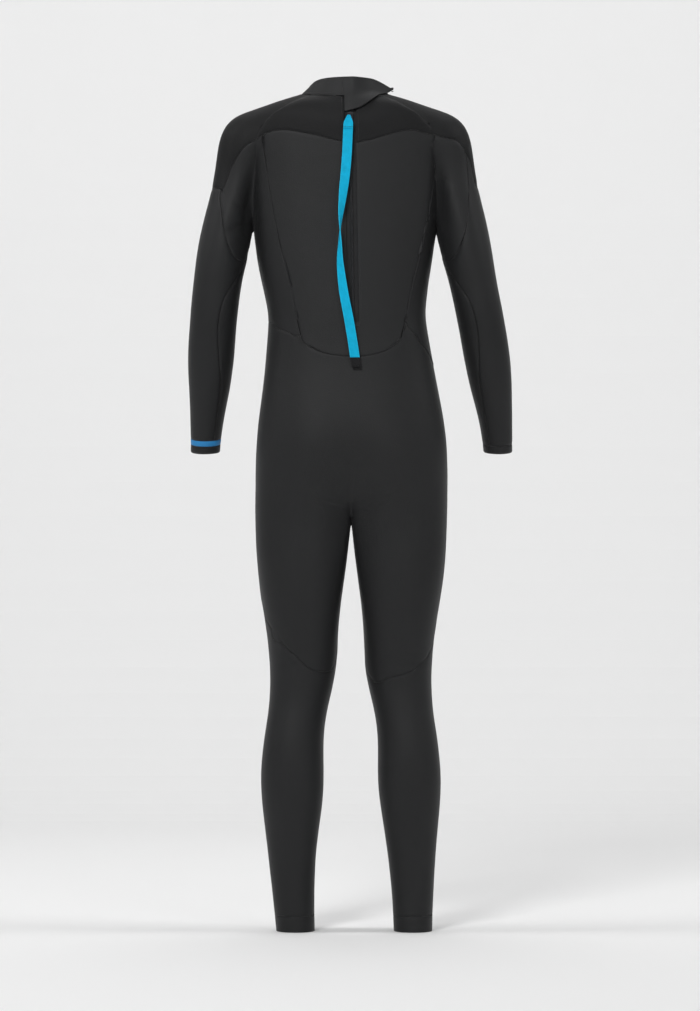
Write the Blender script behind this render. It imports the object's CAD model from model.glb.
import math
import bpy
import bmesh
from mathutils import Matrix, Vector, noise
from mathutils.bvhtree import BVHTree


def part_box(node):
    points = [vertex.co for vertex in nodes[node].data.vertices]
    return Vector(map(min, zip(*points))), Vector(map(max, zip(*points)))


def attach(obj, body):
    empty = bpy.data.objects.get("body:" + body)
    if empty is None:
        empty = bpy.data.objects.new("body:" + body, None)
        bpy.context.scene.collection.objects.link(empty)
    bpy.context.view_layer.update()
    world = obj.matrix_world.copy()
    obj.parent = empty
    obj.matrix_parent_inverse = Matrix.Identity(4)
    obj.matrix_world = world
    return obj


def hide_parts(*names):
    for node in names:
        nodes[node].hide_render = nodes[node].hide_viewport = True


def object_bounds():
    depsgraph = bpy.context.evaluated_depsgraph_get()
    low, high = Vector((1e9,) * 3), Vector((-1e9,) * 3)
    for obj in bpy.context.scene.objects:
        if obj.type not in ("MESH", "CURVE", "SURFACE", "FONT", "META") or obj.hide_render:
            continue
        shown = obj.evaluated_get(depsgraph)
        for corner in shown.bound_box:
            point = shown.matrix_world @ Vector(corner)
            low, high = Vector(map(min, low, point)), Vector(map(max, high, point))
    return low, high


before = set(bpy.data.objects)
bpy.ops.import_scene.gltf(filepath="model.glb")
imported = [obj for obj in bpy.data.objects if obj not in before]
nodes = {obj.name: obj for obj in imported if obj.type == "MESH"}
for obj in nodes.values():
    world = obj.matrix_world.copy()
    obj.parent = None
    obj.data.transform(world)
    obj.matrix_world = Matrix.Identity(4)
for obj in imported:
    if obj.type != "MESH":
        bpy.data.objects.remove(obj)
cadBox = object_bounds()
floorHeight = cadBox[0][2]

# ---------------------------------------------------------------- camera, light, stage
view = dict(distance=8.0, height=0.738, across=-0.002, tall=1.759, sensor=36.0)


def placeCamera():
    data = bpy.data.cameras.new("camera")
    data.sensor_fit = "VERTICAL"
    data.sensor_height = view["sensor"]
    data.lens = view["sensor"] * view["distance"] / view["tall"]
    camera = bpy.data.objects.new("camera", data)
    bpy.context.scene.collection.objects.link(camera)
    camera.location = (view["across"], -view["distance"], view["height"])
    camera.rotation_euler = (math.pi / 2, 0, 0)
    bpy.context.scene.camera = camera


lamps = {
    "key": dict(place=(-1.1, -3.6, 3.4), aim=(0, 0, 0.9), size=1.1, power=98),
    "fill": dict(place=(1.8, -4.2, 1.6), aim=(0, 0, 0.7), size=1.4, power=22),
    "wallLeft": dict(place=(-3.2, -0.2, 3.4), aim=(-0.8, 4.2, 0.8), size=2.0, power=70),
    "wallRight": dict(place=(3.2, -0.2, 3.4), aim=(0.8, 4.2, 0.8), size=2.0, power=70),
    "over": dict(place=(0.0, 1.2, 4.4), aim=(0, 1.0, 0), size=3.0, power=44),
}


def placeLamps():
    for name, lamp in lamps.items():
        data = bpy.data.lights.new(name, "AREA")
        data.shape = "DISK"
        data.size = lamp["size"]
        data.energy = lamp["power"]
        light = bpy.data.objects.new(name, data)
        bpy.context.scene.collection.objects.link(light)
        light.location = lamp["place"]
        light.rotation_euler = (Vector(lamp["aim"]) - light.location).to_track_quat("-Z", "Y").to_euler()
    world = bpy.data.worlds.new("studio")
    world.use_nodes = True
    world.node_tree.nodes["Background"].inputs["Color"].default_value = (1, 1, 1, 1)
    world.node_tree.nodes["Background"].inputs["Strength"].default_value = 0.15
    bpy.context.scene.world = world
    bpy.context.scene.view_settings.view_transform = "Standard"


sweep = dict(half=7.0, front=-8.0, back=2.6, cove=1.6, top=5.0, white=0.86)


def makeSweep():
    bm = bmesh.new()
    left = bm.verts.new((-sweep["half"], sweep["front"], floorHeight - 0.0004))
    right = bm.verts.new((sweep["half"], sweep["front"], floorHeight - 0.0004))
    edge = bm.edges.new((left, right))

    def pullOut(edges, step):
        made = bmesh.ops.extrude_edge_only(bm, edges=edges)["geom"]
        bmesh.ops.translate(bm, verts=[g for g in made if isinstance(g, bmesh.types.BMVert)], vec=step)
        return [g for g in made if isinstance(g, bmesh.types.BMEdge)]

    edges = pullOut([edge], (0, sweep["back"] - sweep["front"], 0))
    hub = (0, sweep["back"], floorHeight + sweep["cove"])
    last = bmesh.ops.spin(bm, geom=edges, cent=hub, axis=(1, 0, 0), angle=math.pi / 2, steps=24,
                          use_merge=False)["geom_last"]
    pullOut([g for g in last if isinstance(g, bmesh.types.BMEdge)], (0, 0, sweep["top"]))
    bmesh.ops.recalc_face_normals(bm, faces=bm.faces)
    floor = newPiece("backdrop", bm)
    finish, build, shader = newFinish("backdrop", (sweep["white"],) * 3, 0.9)
    floor.data.materials.append(finish)


# ---------------------------------------------------------------- finishes
def newFinish(name, colour, roughness, metallic=0.0):
    finish = bpy.data.materials.new(name)
    finish.use_nodes = True
    shader = finish.node_tree.nodes["Principled BSDF"]
    shader.inputs["Base Color"].default_value = (*colour, 1)
    shader.inputs["Roughness"].default_value = roughness
    shader.inputs["Metallic"].default_value = metallic

    def build(kind, links=(), **values):
        node = finish.node_tree.nodes.new(kind)
        for key, value in values.items():
            if hasattr(node, key):
                setattr(node, key, value)
            else:
                node.inputs[key.replace("_", " ")].default_value = value
        for socket, source in links:
            finish.node_tree.links.new(source, node.inputs[socket])
        return node

    def link(source, socket):
        finish.node_tree.links.new(source, shader.inputs[socket])

    build.link = link
    return finish, build, shader


def mottled(build, place, colour, size, spread):
    # slow change of shade over the cloth
    cloud = build("ShaderNodeTexNoise", [("Vector", place)], Scale=size, Detail=4.0)
    ramp = build("ShaderNodeValToRGB", [("Fac", cloud.outputs["Fac"])])
    ramp.color_ramp.elements[0].position = 0.3
    ramp.color_ramp.elements[1].position = 0.7
    ramp.color_ramp.elements[0].color = (*(c * (1 - spread) for c in colour), 1)
    ramp.color_ramp.elements[1].color = (*(c * (1 + spread) for c in colour), 1)
    return ramp.outputs["Color"]


def bumped(build, heights):
    # several bumps, coarse first, chained into one normal
    normal = None
    for height, strength, depth in heights:
        links = [("Height", height)] + ([("Normal", normal)] if normal else [])
        bump = build("ShaderNodeBump", links, Strength=strength, Distance=depth)
        normal = bump.outputs["Normal"]
    build.link(normal, "Normal")


jersey = dict(colour=(0.0118, 0.0121, 0.0127), lining=(0.05, 0.052, 0.056), knit=760.0, fleck=2600.0)


def jerseyFinish(name, colour):
    finish, build, shader = newFinish(name, colour, 0.58)
    place = build("ShaderNodeTexCoord").outputs["Object"]
    shade = mottled(build, place, colour, 7.0, 0.10)
    fleck = build("ShaderNodeTexNoise", [("Vector", place)], Scale=jersey["fleck"], Detail=2.0)
    tinted = build("ShaderNodeMix", [(6, shade)], data_type="RGBA", blend_type="MULTIPLY")
    tinted.inputs[0].default_value = 0.55
    finish.node_tree.links.new(fleck.outputs["Color"], tinted.inputs[7])
    lifted = build("ShaderNodeMix", [(6, tinted.outputs[2])], data_type="RGBA", blend_type="ADD")
    lifted.inputs[0].default_value = 0.4
    lifted.inputs[7].default_value = (*colour, 1)
    build.link(lifted.outputs[2], "Base Color")
    # the knit's loops are a fine cell pattern, and the foam under it is slightly uneven
    loops = build("ShaderNodeTexVoronoi", [("Vector", place)], Scale=jersey["knit"])
    foam = build("ShaderNodeTexNoise", [("Vector", place)], Scale=60.0, Detail=3.0)
    bumped(build, [(foam.outputs["Fac"], 0.10, 0.002), (loops.outputs["Distance"], 0.35, 0.0004)])
    shader.inputs["Sheen Weight"].default_value = 0.03
    shader.inputs["Sheen Roughness"].default_value = 0.4
    shader.inputs["Specular IOR Level"].default_value = 0.25
    return finish


def yokeFinish():
    colour = (0.0080, 0.0081, 0.0086)
    finish, build, shader = newFinish("embossed_rubber", colour, 0.62)
    place = build("ShaderNodeTexCoord").outputs["Object"]
    build.link(mottled(build, place, colour, 10.0, 0.12), "Base Color")
    cells = build("ShaderNodeTexVoronoi", [("Vector", place)], Scale=420.0)
    foam = build("ShaderNodeTexNoise", [("Vector", place)], Scale=70.0, Detail=3.0)
    bumped(build, [(foam.outputs["Fac"], 0.10, 0.002), (cells.outputs["Distance"], 0.45, 0.0006)])
    shader.inputs["Specular IOR Level"].default_value = 0.18
    return finish


def wovenFinish(name, colour, edge, pitch, roughness=0.7):
    # ribs across a tape that carries its own UV map in metres, with a lighter selvedge
    finish, build, shader = newFinish(name, colour, roughness)
    place = build("ShaderNodeUVMap").outputs["UV"]
    parts = build("ShaderNodeSeparateXYZ", [("Vector", place)])
    ribs = build("ShaderNodeTexWave", [("Vector", place)], bands_direction="Y", Scale=0.314 / pitch,
                 Distortion=0.4, Detail=1.0)
    warp = build("ShaderNodeTexWave", [("Vector", place)], bands_direction="X",
                 Scale=0.314 / (pitch * 0.8))
    weave = build("ShaderNodeMath", [(0, ribs.outputs["Fac"]), (1, warp.outputs["Fac"])],
                  operation="MULTIPLY")
    side = build("ShaderNodeMath", [(0, parts.outputs["X"])], operation="ABSOLUTE")
    selvedge = build("ShaderNodeMapRange", [("Value", side.outputs[0])])
    selvedge.inputs["From Min"].default_value = 0.0062
    selvedge.inputs["From Max"].default_value = 0.0085
    shade = mottled(build, place, colour, 90.0, 0.10)
    rim = build("ShaderNodeMix", [(0, selvedge.outputs[0]), (6, shade)], data_type="RGBA")
    rim.inputs[7].default_value = (*edge, 1)
    dark = build("ShaderNodeMix", [(6, rim.outputs[2]), (7, weave.outputs[0])], data_type="RGBA",
                 blend_type="MULTIPLY")
    dark.inputs[0].default_value = 0.20
    build.link(dark.outputs[2], "Base Color")
    bumped(build, [(weave.outputs[0], 0.6, 0.0005)])
    shader.inputs["Specular IOR Level"].default_value = 0.2
    return finish


def tapeFinish(name, colour, pitch, roughness=0.8):
    # woven trim whose pattern follows the suit's own axes
    finish, build, shader = newFinish(name, colour, roughness)
    place = build("ShaderNodeTexCoord").outputs["Object"]
    ribs = build("ShaderNodeTexWave", [("Vector", place)], bands_direction="Z", Scale=0.314 / pitch)
    warp = build("ShaderNodeTexWave", [("Vector", place)], bands_direction="X", Scale=0.314 / pitch)
    weave = build("ShaderNodeMath", [(0, ribs.outputs["Fac"]), (1, warp.outputs["Fac"])],
                  operation="MULTIPLY")
    shade = mottled(build, place, colour, 80.0, 0.18)
    dark = build("ShaderNodeMix", [(6, shade), (7, weave.outputs[0])], data_type="RGBA",
                 blend_type="MULTIPLY")
    dark.inputs[0].default_value = 0.35
    build.link(dark.outputs[2], "Base Color")
    bumped(build, [(weave.outputs[0], 0.6, 0.0004)])
    shader.inputs["Sheen Weight"].default_value = 0.15
    return finish


def napFinish(name, size, strength):
    # the hook side is stubbly, the loop side is a soft fuzz
    colour = (0.014, 0.014, 0.015)
    finish, build, shader = newFinish(name, colour, 0.9)
    place = build("ShaderNodeTexCoord").outputs["Object"]
    build.link(mottled(build, place, colour, 300.0, 0.35), "Base Color")
    stubble = build("ShaderNodeTexVoronoi", [("Vector", place)], Scale=size)
    fuzz = build("ShaderNodeTexNoise", [("Vector", place)], Scale=size * 1.7, Detail=4.0)
    bumped(build, [(stubble.outputs["Distance"], strength, 0.0008), (fuzz.outputs["Fac"], 0.4, 0.0004)])
    shader.inputs["Sheen Weight"].default_value = 0.4
    return finish


def hardFinish(name, colour, roughness, metallic, grain):
    finish, build, shader = newFinish(name, colour, roughness, metallic)
    place = build("ShaderNodeTexCoord").outputs["Object"]
    build.link(mottled(build, place, colour, 160.0, 0.15), "Base Color")
    worn = build("ShaderNodeTexNoise", [("Vector", place)], Scale=420.0, Detail=5.0)
    rough = build("ShaderNodeMapRange", [("Value", worn.outputs["Fac"])])
    rough.inputs["To Min"].default_value = roughness - 0.12
    rough.inputs["To Max"].default_value = roughness + 0.15
    build.link(rough.outputs[0], "Roughness")
    pits = build("ShaderNodeTexNoise", [("Vector", place)], Scale=grain, Detail=3.0)
    bumped(build, [(pits.outputs["Fac"], 0.15, 0.0002)])
    return finish


finishes = {}


def makeFinishes():
    finishes["jersey"] = jerseyFinish("black_jersey", jersey["colour"])
    finishes["yoke"] = yokeFinish()
    finishes["band"] = jerseyFinish("blue_knit", (0.022, 0.19, 0.44))
    finishes["webbing"] = wovenFinish("blue_webbing", (0.0, 0.50, 0.82), (0.010, 0.57, 0.88), 0.0014)
    finishes["tagTape"] = wovenFinish("black_webbing", (0.010, 0.010, 0.011), (0.014, 0.014, 0.015), 0.0011)
    finishes["zipTape"] = tapeFinish("zip_tape", (0.014, 0.014, 0.015), 0.0009)
    finishes["thread"] = tapeFinish("black_thread", (0.007, 0.007, 0.008), 0.0004, 0.6)
    finishes["hook"] = napFinish("hook_pile", 900.0, 0.9)
    finishes["loop"] = napFinish("loop_pile", 600.0, 0.6)
    finishes["coil"] = hardFinish("coil_plastic", (0.022, 0.022, 0.024), 0.42, 0.0, 900.0)
    finishes["metal"] = hardFinish("dark_plating", (0.035, 0.035, 0.038), 0.46, 1.0, 1500.0)


# ---------------------------------------------------------------- shared making
def newPiece(name, bm):
    mesh = bpy.data.meshes.new(name)
    bm.to_mesh(mesh)
    bm.free()
    piece = bpy.data.objects.new(name, mesh)
    bpy.context.scene.collection.objects.link(piece)
    return piece


def settle(piece):
    # the modifiers become the mesh
    graph = bpy.context.evaluated_depsgraph_get()
    mesh = bpy.data.meshes.new_from_object(piece.evaluated_get(graph))
    piece.modifiers.clear()
    piece.data = mesh


def smoothShade(piece, angle=50):
    piece.data.shade_smooth()
    piece.data.set_sharp_from_angle(angle=math.radians(angle))


def dress(piece, finish, slot, body, *replaced):
    piece.data.materials.clear()
    piece.data.materials.append(finishes[finish])
    for polygon in piece.data.polygons:
        polygon.material_index = 0
    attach(piece, body)
    if replaced:
        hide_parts(*replaced)


def largestIsland(bm):
    # the outer side of a sheet has a little more area than its inner side
    waiting = set(bm.faces)
    best = (0, [])
    while waiting:
        stack = [waiting.pop()]
        island = []
        while stack:
            face = stack.pop()
            island.append(face)
            for edge in face.edges:
                for other in edge.link_faces:
                    if other in waiting:
                        waiting.remove(other)
                        stack.append(other)
        best = max(best, (sum(face.calc_area() for face in island), island), key=lambda pair: pair[0])
    return best[1]


def outerSide(name):
    bm = bmesh.new()
    bm.from_mesh(nodes[name].data)
    bmesh.ops.remove_doubles(bm, verts=bm.verts, dist=2e-6)
    bm.normal_update()
    folds = [e for e in bm.edges if e.is_manifold and e.calc_face_angle() > math.radians(58)]
    bmesh.ops.split_edges(bm, edges=folds)
    kept = set(largestIsland(bm))
    bmesh.ops.delete(bm, geom=[f for f in bm.faces if f not in kept], context="FACES")
    return bm


def subdivided(bm, levels, rim="ALL"):
    piece = newPiece("cage", bm)
    smooth = piece.modifiers.new("smooth", "SUBSURF")
    smooth.levels = levels
    smooth.render_levels = levels
    smooth.boundary_smooth = rim
    settle(piece)
    made = bmesh.new()
    made.from_mesh(piece.data)
    bpy.data.objects.remove(piece)
    return made


# ---------------------------------------------------------------- the suit's skin
panelFinishes = {
    "yoke_left": "yoke", "yoke_right": "yoke", "back_panel": "jersey", "chest_panel": "jersey",
    "side_panel_left": "jersey", "side_panel_right": "jersey", "sleeve_left": "jersey",
    "sleeve_right": "jersey", "forearm_left": "jersey", "forearm_right": "jersey",
    "cuff_left": "jersey", "cuff_right": "jersey", "cuff_band_left": "band",
    "seat_panel": "jersey", "front_panel": "jersey", "knee_pad_left": "yoke",
    "knee_pad_right": "yoke", "calf_panel_left": "jersey", "calf_panel_right": "jersey",
    "ankle_hem_left": "jersey", "ankle_hem_right": "jersey",
}
panelSlots = {"yoke": "smooth_neoprene", "jersey": "neoprene", "band": "band_blue"}
skin = dict(weld=0.0009, thickness=0.003, gap=0.00035, groove=0.0006, ripple=0.0007, ripplePitch=11.0)


def weldSkin():
    bm = bmesh.new()
    for index, name in enumerate(panelFinishes):
        panel = outerSide(name)
        for face in panel.faces:
            face.material_index = index
        mesh = bpy.data.meshes.new("panel")
        panel.to_mesh(mesh)
        panel.free()
        bm.from_mesh(mesh)
        bpy.data.meshes.remove(mesh)
    bmesh.ops.remove_doubles(bm, verts=bm.verts, dist=skin["weld"])
    bmesh.ops.join_triangles(bm, faces=bm.faces, cmp_materials=True, angle_face_threshold=0.7,
                             angle_shape_threshold=0.9)
    print("skin cage", len(bm.faces), "faces,", sum(e.is_boundary for e in bm.edges), "open edges")
    return bm


def seamEdges(bm):
    return [e for e in bm.edges if len(e.link_faces) == 2
            and e.link_faces[0].material_index != e.link_faces[1].material_index]


def relax(bm, rounds):
    # even out the cage's steps, and let each seam run as one fair line
    free = [v for v in bm.verts if not v.is_boundary]
    for _ in range(rounds):
        for factor in (0.5, -0.52):
            bmesh.ops.smooth_vert(bm, verts=free, factor=factor, use_axis_x=True, use_axis_y=True,
                                  use_axis_z=True)
    chains = {}
    for edge in seamEdges(bm):
        for v in edge.verts:
            chains.setdefault(v, []).append(edge.other_vert(v))
    for _ in range(rounds):
        goals = {v: (ends[0].co + ends[1].co) / 2 for v, ends in chains.items() if len(ends) == 2}
        for v, goal in goals.items():
            v.co = v.co.lerp(goal, 0.5)


# creases and soft ridges as lines of (across, up) points on one side of the body
folds = [
    dict(side=-1, depth=-0.0030, width=0.007, line=[(0.012, 0.735), (0.045, 0.744), (0.080, 0.764)], both=True),
    dict(side=-1, depth=0.0016, width=0.012, line=[(0.020, 0.748), (0.060, 0.760)], both=True),
    dict(side=-1, depth=-0.0030, width=0.006, line=[(0.000, 0.80), (0.000, 0.715)], both=False),
    dict(side=-1, depth=-0.0035, width=0.007, line=[(0.172, 1.200), (0.170, 1.245), (0.160, 1.292)], both=True),
    dict(side=-1, depth=-0.0016, width=0.006, line=[(0.168, 1.240), (0.145, 1.262)], both=True),
    dict(side=-1, depth=-0.0014, width=0.006, line=[(0.170, 1.222), (0.143, 1.228)], both=True),
    dict(side=-1, depth=-0.0016, width=0.006, line=[(0.172, 1.226), (0.200, 1.212)], both=True),
    dict(side=-1, depth=-0.0014, width=0.006, line=[(0.172, 1.250), (0.196, 1.262)], both=True),
    dict(side=1, depth=-0.0030, width=0.007, line=[(0.170, 1.200), (0.160, 1.262)], both=True),
    dict(side=1, depth=-0.0014, width=0.006, line=[(0.168, 1.225), (0.140, 1.238)], both=True),
    dict(side=-1, depth=-0.0012, width=0.007, line=[(0.060, 0.486), (0.095, 0.480), (0.130, 0.489)], both=True),
    dict(side=-1, depth=-0.0010, width=0.007, line=[(0.066, 0.466), (0.100, 0.461), (0.128, 0.468)], both=True),
    dict(side=-1, depth=-0.0012, width=0.006, line=[(0.196, 1.050), (0.222, 1.042)], both=True),
    dict(side=1, depth=-0.0014, width=0.006, line=[(0.205, 1.075), (0.236, 1.064)], both=True),
]


# the caps of the shoulders stand rounder than the cage: middle (across, up), reach and height
shoulder = dict(across=0.188, up=1.385, reach=0.050, proud=0.0125)


def lineNearness(line, across, up):
    # distance to the line, and how far in from its ends the nearest point is
    best = (9.0, 0.0)
    for k, (a, b) in enumerate(zip(line, line[1:])):
        run = Vector((b[0] - a[0], b[1] - a[1]))
        reach = Vector((across - a[0], up - a[1]))
        share = max(0.0, min(1.0, reach.dot(run) / run.length_squared))
        along = (k + share) / (len(line) - 1)
        best = min(best, ((reach - run * share).length, along))
    return best


def foldSkin(bm):
    bm.normal_update()
    for v in bm.verts:
        push = 0.0
        lean = -0.0105 * max(0.0, min(1.0, (v.co.z - 0.85) / 0.25))
        for fold in folds:
            facing = fold["side"] * v.normal.y
            if facing < -0.2:
                continue
            across = v.co.x - lean
            if fold["both"]:
                across = abs(across)
            line = fold["line"]
            low = min(p[1] for p in line) - 3 * fold["width"]
            high = max(p[1] for p in line) + 3 * fold["width"]
            if not low < v.co.z < high:
                continue
            distance, along = lineNearness(line, across, v.co.z)
            taper = math.sin(math.pi * (0.12 + 0.76 * along))
            weight = min(1.0, (facing + 0.2) * 1.6)
            push += fold["depth"] * taper * weight * math.exp(-(distance / fold["width"]) ** 2)
        wave = noise.noise(v.co * skin["ripplePitch"]) * 0.7 + noise.noise(v.co * skin["ripplePitch"] * 2.3) * 0.3
        calm = min(1.0, min(abs(v.co.x - 0.0) / 0.03 + max(0.0, 1.0 - v.co.z) * 30, 1.0))
        miss = Vector((abs(v.co.x - lean) - shoulder["across"], v.co.z - shoulder["up"])).length
        push += shoulder["proud"] * math.exp(-(miss / shoulder["reach"]) ** 2)
        v.co += v.normal * (push + wave * skin["ripple"] * calm)


def panelPiece(bm, index, name, finish):
    panel = bm.copy()
    bmesh.ops.delete(panel, geom=[f for f in panel.faces if f.material_index != index], context="FACES")
    normals = {v: v.normal.copy() for v in panel.verts}
    shifts = {}
    for edge in panel.edges:
        if not edge.is_boundary:
            continue
        a, b = edge.verts
        face = edge.link_faces[0]
        inward = face.normal.cross(b.co - a.co).normalized()
        if inward.dot(face.calc_center_median() - a.co) < 0:
            inward.negate()
        for v in (a, b):
            shifts.setdefault(v, []).append(inward)
    for v, sides in shifts.items():
        if v.co.z > floorHeight + 0.0005:
            v.co += sum(sides, Vector()).normalized() * skin["gap"] - normals[v] * skin["groove"]
    piece = newPiece(name + "_cloth", panel)
    wall = piece.modifiers.new("wall", "SOLIDIFY")
    wall.thickness = skin["thickness"]
    wall.offset = -1
    settle(piece)
    smoothShade(piece)
    dress(piece, finish, panelSlots[finish], "suit", name)


stitch = dict(half=0.0019, slant=0.9, radius=0.00026, hem=0.0042, lift=0.00012)


def stitchAt(centre, run, outward, half, radius):
    side = outward.cross(run).normalized()
    up = run.cross(side)
    turn = Matrix((run, side, up)).transposed().to_4x4()
    return Matrix.Translation(centre) @ turn @ Matrix.Diagonal((half, radius, radius, 1))


def scatter(places, subdivisions=1, batch=50):
    # one small ball for each place, made in batches because a large bmesh is slow to add to
    whole = bmesh.new()
    for start in range(0, len(places), batch):
        some = bmesh.new()
        for place in places[start:start + batch]:
            bmesh.ops.create_icosphere(some, subdivisions=subdivisions, radius=1, matrix=place)
        mesh = bpy.data.meshes.new("batch")
        some.to_mesh(mesh)
        some.free()
        whole.from_mesh(mesh)
        bpy.data.meshes.remove(mesh)
    return whole


def zigzag(edge, outward):
    a, b = edge.verts
    if b.co.z < a.co.z:
        a, b = b, a
    run = (b.co - a.co).normalized()
    side = outward.cross(run).normalized()
    made = []
    for share, slant in ((0.25, 1), (0.75, -1)):
        centre = a.co.lerp(b.co, share) + outward * (stitch["lift"] - skin["groove"] * 0.4)
        heading = (run + side * slant * stitch["slant"]).normalized()
        made.append(stitchAt(centre, heading, outward, stitch["half"], stitch["radius"]))
    return made


def hemStitch(edge, inset, half=0.0013):
    # one stitch that runs beside an open edge
    a, b = edge.verts
    face = edge.link_faces[0]
    run = (b.co - a.co).normalized()
    inward = face.normal.cross(run)
    if inward.dot(face.calc_center_median() - a.co) < 0:
        inward.negate()
    centre = (a.co + b.co) / 2 + inward * inset + face.normal * stitch["lift"]
    return stitchAt(centre, run, face.normal, half, stitch["radius"])


def makeThreads(bm):
    bm.normal_update()
    rows = {"upper": [], "lower": []}
    for edge in seamEdges(bm):
        outward = (edge.link_faces[0].normal + edge.link_faces[1].normal).normalized()
        rows["upper" if edge.verts[0].co.z > 1.03 else "lower"] += zigzag(edge, outward)
    for edge in bm.edges:
        if edge.is_boundary and edge.verts[0].co.z > floorHeight + 0.001:
            steep = abs((edge.verts[0].co - edge.verts[1].co).normalized().z) > 0.7
            rows["upper"].append(hemStitch(edge, stitch["hem"] if steep else 0.003))
    for part, row in rows.items():
        piece = newPiece("seam_thread_" + part, scatter(row))
        smoothShade(piece, 180)
        dress(piece, "thread", "webbing_black", "suit")


seamTape = dict(depth=0.0033, thickness=0.0004)


def makeSeamTape(bm):
    # the tape glued along the inside of every seam
    tape = bm.copy()
    near = {v for e in seamEdges(tape) for v in e.verts}
    bmesh.ops.delete(tape, geom=[f for f in tape.faces if not near.intersection(f.verts)], context="FACES")
    shifts = {v: v.normal * seamTape["depth"] for v in tape.verts}
    for v, shift in shifts.items():
        v.co -= shift
    piece = newPiece("inner_seam_tape", tape)
    wall = piece.modifiers.new("wall", "SOLIDIFY")
    wall.thickness = seamTape["thickness"]
    wall.offset = -1
    settle(piece)
    smoothShade(piece)
    dress(piece, "jersey", "neoprene", "suit")


def makeSkin():
    bm = weldSkin()
    bm = subdivided(bm, 2)
    relax(bm, 5)
    bm = subdivided(bm, 1)
    relax(bm, 1)
    foldSkin(bm)
    makeThreads(bm)
    makeSeamTape(bm)
    for index, (name, finish) in enumerate(panelFinishes.items()):
        panelPiece(bm, index, name, finish)
    bm.free()
    print("skin done")


# ---------------------------------------------------------------- collar and its tab
collar = dict(thickness=0.0025, levels=3, hem=0.0035)


def sheetFrom(name, pieceName, thickness, levels, lift=0.0):
    bm = outerSide(name)
    bmesh.ops.join_triangles(bm, faces=bm.faces, angle_face_threshold=0.7, angle_shape_threshold=0.9)
    bm = subdivided(bm, levels, "PRESERVE_CORNERS")
    bm.normal_update()
    for v in bm.verts:
        v.co += v.normal * lift
    places = [hemStitch(edge, collar["hem"]) for edge in bm.edges if edge.is_boundary]
    piece = newPiece(pieceName, bm)
    wall = piece.modifiers.new("wall", "SOLIDIFY")
    wall.thickness = thickness
    wall.offset = -1
    settle(piece)
    smoothShade(piece)
    row = newPiece(pieceName + "_thread", scatter(places))
    smoothShade(row, 180)
    return piece, row


def makeCollar():
    band, bandRow = sheetFrom("collar_band", "collar_cloth", collar["thickness"], collar["levels"])
    dress(band, "jersey", "neoprene", "suit", "collar_band")
    dress(bandRow, "thread", "webbing_black", "suit")
    tab, tabRow = sheetFrom("collar_flap", "collar_tab", collar["thickness"], 2, 0.0002)
    dress(tab, "jersey", "neoprene", "flap", "collar_flap")
    dress(tabRow, "thread", "webbing_black", "flap")
    print("collar done")


facing = dict(left=-0.026, right=0.012, low=1.432, high=1.464, inside=0.0012, thickness=0.0012)


def makeFacing():
    # a strip behind the head of the zip, where the collar's ends part
    solid = bmesh.new()
    for name in ("collar_band", "yoke_left", "yoke_right"):
        solid.from_mesh(nodes[name].data)
    tree = BVHTree.FromBMesh(solid)
    solid.free()
    bm = bmesh.new()
    bmesh.ops.create_grid(bm, x_segments=10, y_segments=10, size=0.5)
    for v in bm.verts:
        across = facing["left"] + (facing["right"] - facing["left"]) * (v.co.x + 0.5)
        up = facing["low"] + (facing["high"] - facing["low"]) * (v.co.y + 0.5)
        hit = tree.ray_cast(Vector((across, 0, up)), Vector((0, -1, 0)))[0]
        beside = tree.ray_cast(Vector((facing["left"], 0, up)), Vector((0, -1, 0)))[0]
        v.co = (across, max(p.y for p in (hit, beside) if p) + facing["inside"], up)
    bmesh.ops.smooth_vert(bm, verts=bm.verts, factor=0.5, use_axis_y=True)
    piece = newPiece("collar_facing", bm)
    wall = piece.modifiers.new("wall", "SOLIDIFY")
    wall.thickness = facing["thickness"]
    wall.offset = 1
    settle(piece)
    smoothShade(piece)
    dress(piece, "jersey", "neoprene", "suit")


# ---------------------------------------------------------------- zip
coil = dict(pitch=0.0016, half=0.0017, thick=0.00062, deep=0.0011, overlap=0.0007)


def makeCoil():
    trees = []
    for side in ("left", "right"):
        bm = bmesh.new()
        bm.from_mesh(nodes["zip_coil_" + side].data)
        trees.append(BVHTree.FromBMesh(bm))
        bm.free()
    low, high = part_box("zip_coil_left")
    lowRight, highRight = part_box("zip_coil_right")
    footX = (high.x + lowRight.x) / 2 + 0.003
    count = int((high.z - low.z) / coil["pitch"])
    for side, sign, tree in (("left", -1, trees[0]), ("right", 1, trees[1])):
        places = []
        for k in range(count):
            up = low.z + (k + (0.5 if sign > 0 else 0.0)) * coil["pitch"] + 0.0006
            share = (up - low.z) / (high.z - low.z)
            middle = zipX(share)
            hit = tree.ray_cast(Vector((middle + sign * 0.0013, -1, up)), Vector((0, 1, 0)))[0]
            if hit is None:
                continue
            centre = Vector((middle + sign * (coil["half"] - coil["overlap"]), hit.y + coil["deep"], up))
            size = Matrix.Diagonal((coil["half"], coil["deep"], coil["thick"], 1))
            turn = Matrix.Rotation(math.radians(8) * sign, 4, "Y")
            places.append(Matrix.Translation(centre) @ turn @ size)
        piece = newPiece("zip_teeth_" + side, scatter(places, 2))
        smoothShade(piece, 180)
        dress(piece, "coil", "zip_plastic", "suit", "zip_coil_" + side)


def zipX(share):
    # the zip leans a little across the back: its foot and head from the two coils' boxes
    left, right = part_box("zip_coil_left"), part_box("zip_coil_right")
    foot = left[1].x + 0.00015
    head = right[0].x - 0.00015
    return foot + (head - foot) * share


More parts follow.
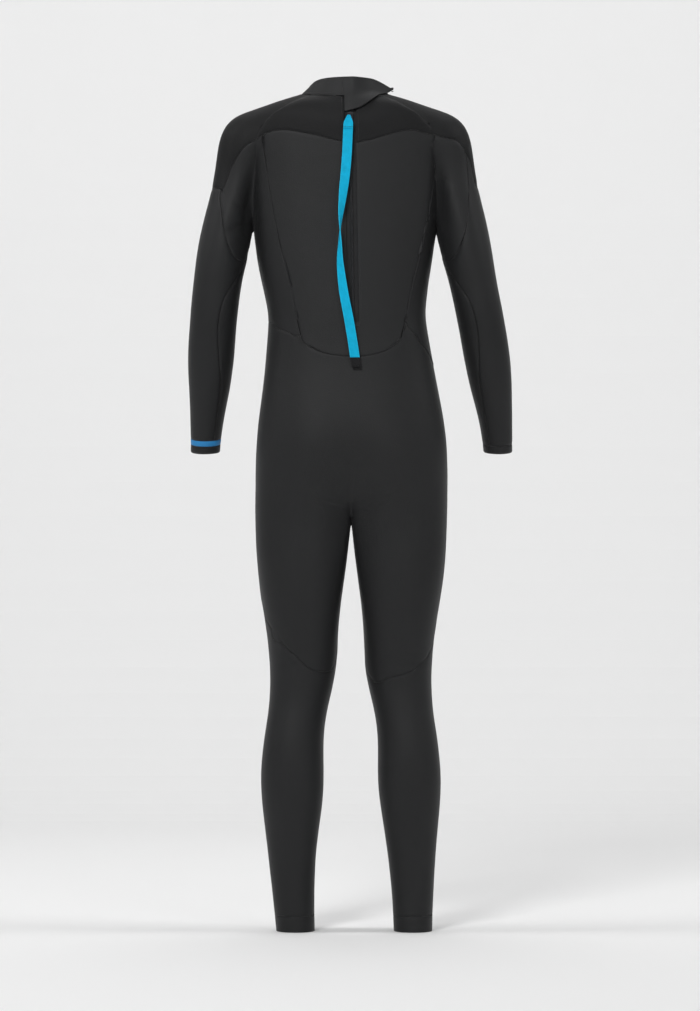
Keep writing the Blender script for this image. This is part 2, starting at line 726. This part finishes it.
def trimMaterials():
    for name, finish in (("zip_tape_left", "zipTape"), ("zip_tape_right", "zipTape"),
                         ("zip_end_patch", "zipTape"), ("zip_guard", "jersey"), ("zip_slider", "metal"),
                         ("pull_tab", "metal"), ("hook_patch", "hook"), ("loop_patch", "loop")):
        nodes[name].data.materials.clear()
        nodes[name].data.materials.append(finishes[finish])


# ---------------------------------------------------------------- the webbing pull
pull = dict(width=0.0165, thickness=0.0016, across=10, step=0.003, point=0.013, tip=0.005,
            foldStart=0.004, foldEnd=0.021, tag=0.0165, tagThickness=0.0024)
pullRoute = [(-0.0040, -0.0892, 1.4102), (-0.0050, -0.0897, 1.3950), (-0.0060, -0.0915, 1.3700),
             (-0.0075, -0.0950, 1.3400), (-0.0105, -0.1000, 1.3050), (-0.0150, -0.1065, 1.2650),
             (-0.0185, -0.1125, 1.2280), (-0.0192, -0.1140, 1.1900), (-0.0188, -0.1140, 1.1540),
             (-0.0130, -0.1135, 1.1060), (-0.0040, -0.1130, 1.0580), (0.0020, -0.1130, 1.0220),
             (0.0065, -0.1135, 0.9920)]
pullTurn = [(1.350, 0), (1.290, 22), (1.245, 58), (1.212, 90), (1.182, 112), (1.145, 136), (1.100, 160),
            (1.050, 178), (1.030, 180)]


def smoothLine(knots, step):
    # a Catmull-Rom curve through the knots, sampled every few millimetres
    points = [Vector(p) for p in knots]
    points = [points[0] * 2 - points[1], *points, points[-1] * 2 - points[-2]]
    made = []
    for a, b, c, d in zip(points, points[1:], points[2:], points[3:]):
        count = max(2, round((c - b).length / step))
        for k in range(count):
            t = k / count
            made.append(0.5 * (2 * b + (c - a) * t + (2 * a - 5 * b + 4 * c - d) * t ** 2
                               + (3 * b - a - 3 * c + d) * t ** 3))
    return made + [points[-2]]


def turnAt(up):
    # degrees by which the webbing has turned about its own length at a height
    if up >= pullTurn[0][0]:
        return pullTurn[0][1]
    for (high, a), (low, b) in zip(pullTurn, pullTurn[1:]):
        if up >= low:
            share = (high - up) / (high - low)
            return a + (b - a) * share
    return pullTurn[-1][1]


def ribbon(name, line, width, thickness, along, lift=0.0):
    # one row of points across, pulled along the line and given its thickness
    bm = bmesh.new()
    layer = bm.loops.layers.uv.new("weave")
    spots = {}

    def spread(row, k):
        point = line[k]
        angle = math.radians(turnAt(point.z))
        side = Vector((math.cos(angle), math.sin(angle), 0))
        heading = (line[min(k + 1, len(line) - 1)] - line[max(k - 1, 0)]).normalized()
        outward = side.cross(heading).normalized()
        if k == 0 or outward.y > 0 and angle < 0.2:
            outward = outward if outward.y < 0 else -outward
        for j, v in enumerate(row):
            share = j / pull["across"] * 2 - 1
            v.co = point + side * share * width(k) / 2 + outward * lift
            spots[v] = (share * width(k) / 2, along[k])

    row = [bm.verts.new((j, 0, 0)) for j in range(pull["across"] + 1)]
    edges = [bm.edges.new(pair) for pair in zip(row, row[1:])]
    spread(row, 0)
    for k in range(1, len(line)):
        made = bmesh.ops.extrude_edge_only(bm, edges=edges)["geom"]
        fresh = [g for g in made if isinstance(g, bmesh.types.BMVert)]
        edges = [g for g in made if isinstance(g, bmesh.types.BMEdge)]
        partners = {v: e.other_vert(v) for v in fresh for e in v.link_edges if e.other_vert(v) in set(row)}
        row = [next(v for v in fresh if partners[v] is old) for old in row]
        spread(row, k)
    for face in bm.faces:
        for loop in face.loops:
            loop[layer].uv = spots[loop.vert]
    piece = newPiece(name, bm)
    wall = piece.modifiers.new("wall", "SOLIDIFY")
    wall.thickness = thickness
    wall.offset = 0
    round_ = piece.modifiers.new("round", "BEVEL")
    round_.width = thickness * 0.3
    round_.segments = 2
    round_.limit_method = "ANGLE"
    settle(piece)
    smoothShade(piece, 60)
    return piece


def makePull():
    line = smoothLine(pullRoute, pull["step"])
    along = [0.0]
    for a, b in zip(line, line[1:]):
        along.append(along[-1] + (b - a).length)

    def width(k):
        return pull["tip"] + (pull["width"] - pull["tip"]) * min(1.0, along[k] / pull["point"])

    tape = ribbon("pull_webbing", line, width, pull["thickness"], along)
    dress(tape, "webbing", "pull_webbing", "pull", "pull_tape")
    start = next(k for k, s in enumerate(along) if s >= pull["foldStart"])
    end = next(k for k, s in enumerate(along) if s >= pull["foldEnd"])
    fold = ribbon("pull_fold", line[start:end + 1], lambda k: width(k + start), pull["thickness"] * 0.8,
                  along[start:end + 1], pull["thickness"] * 0.9)
    dress(fold, "webbing", "pull_webbing", "pull")
    heading = (line[-1] - line[-2]).normalized()
    tagLine = [line[-1] + heading * (0.0002 + pull["tag"] * k / 8) for k in range(9)]
    tag = ribbon("pull_tag", tagLine, lambda k: pull["width"], pull["tagThickness"],
                 [pull["tag"] * k / 8 for k in range(9)])
    dress(tag, "tagTape", "webbing_black", "pull", "leash_tag")
    places = []
    for j in range(9):
        centre = line[end - 1] + Vector(((j - 4) * 0.0019, -pull["thickness"] * 1.9, 0))
        places.append(stitchAt(centre, Vector((1, 0, 0)), Vector((0, -1, 0)), 0.0008, 0.0003))
    bar = newPiece("pull_stitching", scatter(places))
    smoothShade(bar, 180)
    dress(bar, "thread", "pull_webbing", "pull")
    print("pull done, length", round(along[-1], 4))


makeFinishes()
placeCamera()
placeLamps()
makeSweep()
makePull()
makeSkin()
makeCollar()
makeFacing()
makeCoil()
trimMaterials()
